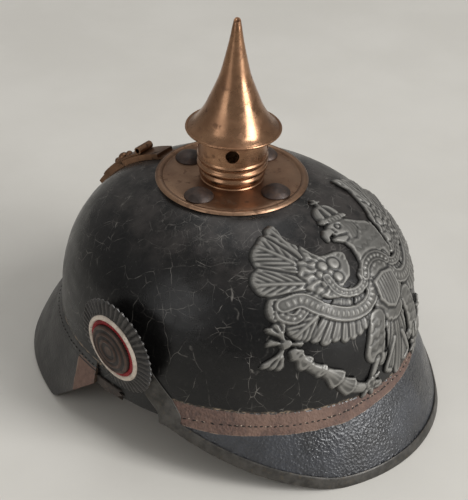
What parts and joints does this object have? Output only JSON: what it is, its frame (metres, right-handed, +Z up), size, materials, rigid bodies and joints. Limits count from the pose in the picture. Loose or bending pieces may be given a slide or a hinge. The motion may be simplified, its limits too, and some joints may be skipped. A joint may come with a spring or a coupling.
{
  "type": "spiked leather helmet",
  "caption": "Spiked leather helmet with front and rear visors, eagle plate, cockades and finger liner; the spike unlocks by a bayonet turn and a rear spine carries a sliding vent cover.",
  "frame": {"origin": "centre of the helmet's length and width, on the table plane on which both visors rest", "axes": "+Z up along the spike, -Y towards the front visor, +X towards the wearer's left"},
  "size_m": [0.2133, 0.262, 0.2248],
  "materials": {
    "black_leather": "black lacquer over leather, finely cracked, satin",
    "grey_leather": "worn dark grey lacquered leather, satin",
    "brown_leather": "bare tanned leather, dull",
    "liner_leather": "thin tan leather, dull",
    "copper_brass": "polished brass with a copper tone",
    "spine_brass": "tarnished brass, brown",
    "stud_bronze": "dark brown patina, satin",
    "trim_steel": "dull steel with a brown cast",
    "eagle_steel": "grey oxidised steel, satin",
    "black_metal": "black paint, satin",
    "white_paint": "aged cream paint, matt",
    "red_paint": "red paint, satin",
    "boss_brown": "dark brown lacquer, gloss"
  },
  "bodies": {
    "helmet": {"base_collar": "copper_brass", "base_studs": "stud_bronze", "bayonet_socket": "copper_brass", "cockade_boss_left": "boss_brown", "cockade_boss_right": "boss_brown", "cockade_core_left": "black_metal", "cockade_core_right": "red_paint", "cockade_disc_left": "black_metal", "cockade_disc_right": "black_metal", "cockade_ring_left": "white_paint", "cockade_ring_right": "white_paint", "eagle_loops": "eagle_steel", "eagle_plate": "eagle_steel", "eagle_wedges": "brown_leather", "ear_bindings": "brown_leather", "front_visor": "black_leather", "liner_finger_1": "liner_leather", "liner_finger_2": "liner_leather", "liner_finger_3": "liner_leather", "liner_finger_4": "liner_leather", "liner_finger_5": "liner_leather", "liner_finger_6": "liner_leather", "liner_finger_7": "liner_leather", "liner_finger_8": "liner_leather", "post_washers": "trim_steel", "rear_spine": "spine_brass", "rear_visor": "grey_leather", "side_posts": "trim_steel", "skull": "black_leather", "spike_base": "copper_brass", "spine_stud": "spine_brass", "stud_washers": "trim_steel", "sweatband": "liner_leather", "visor_trim": "trim_steel"},
    "spike": {"spike_neck": "copper_brass", "spike_cone": "copper_brass", "bayonet_pins": "trim_steel"},
    "slider": {"spine_slider": "spine_brass", "slider_rivets": "spine_brass"}
  },
  "joints": [
    {"name": "spike_turn", "type": "hinge", "parent": "helmet", "child": "spike", "pos_m": [0, 0.00352, 0.137], "axis": [0, 0, 1], "range_deg": [0, 38]},
    {"name": "vent_slide", "type": "hinge", "parent": "helmet", "child": "slider", "pos_m": [0, 0.02863, 0.05075], "axis": [1, 0, 0], "range_deg": [0, 7]}
  ]
}
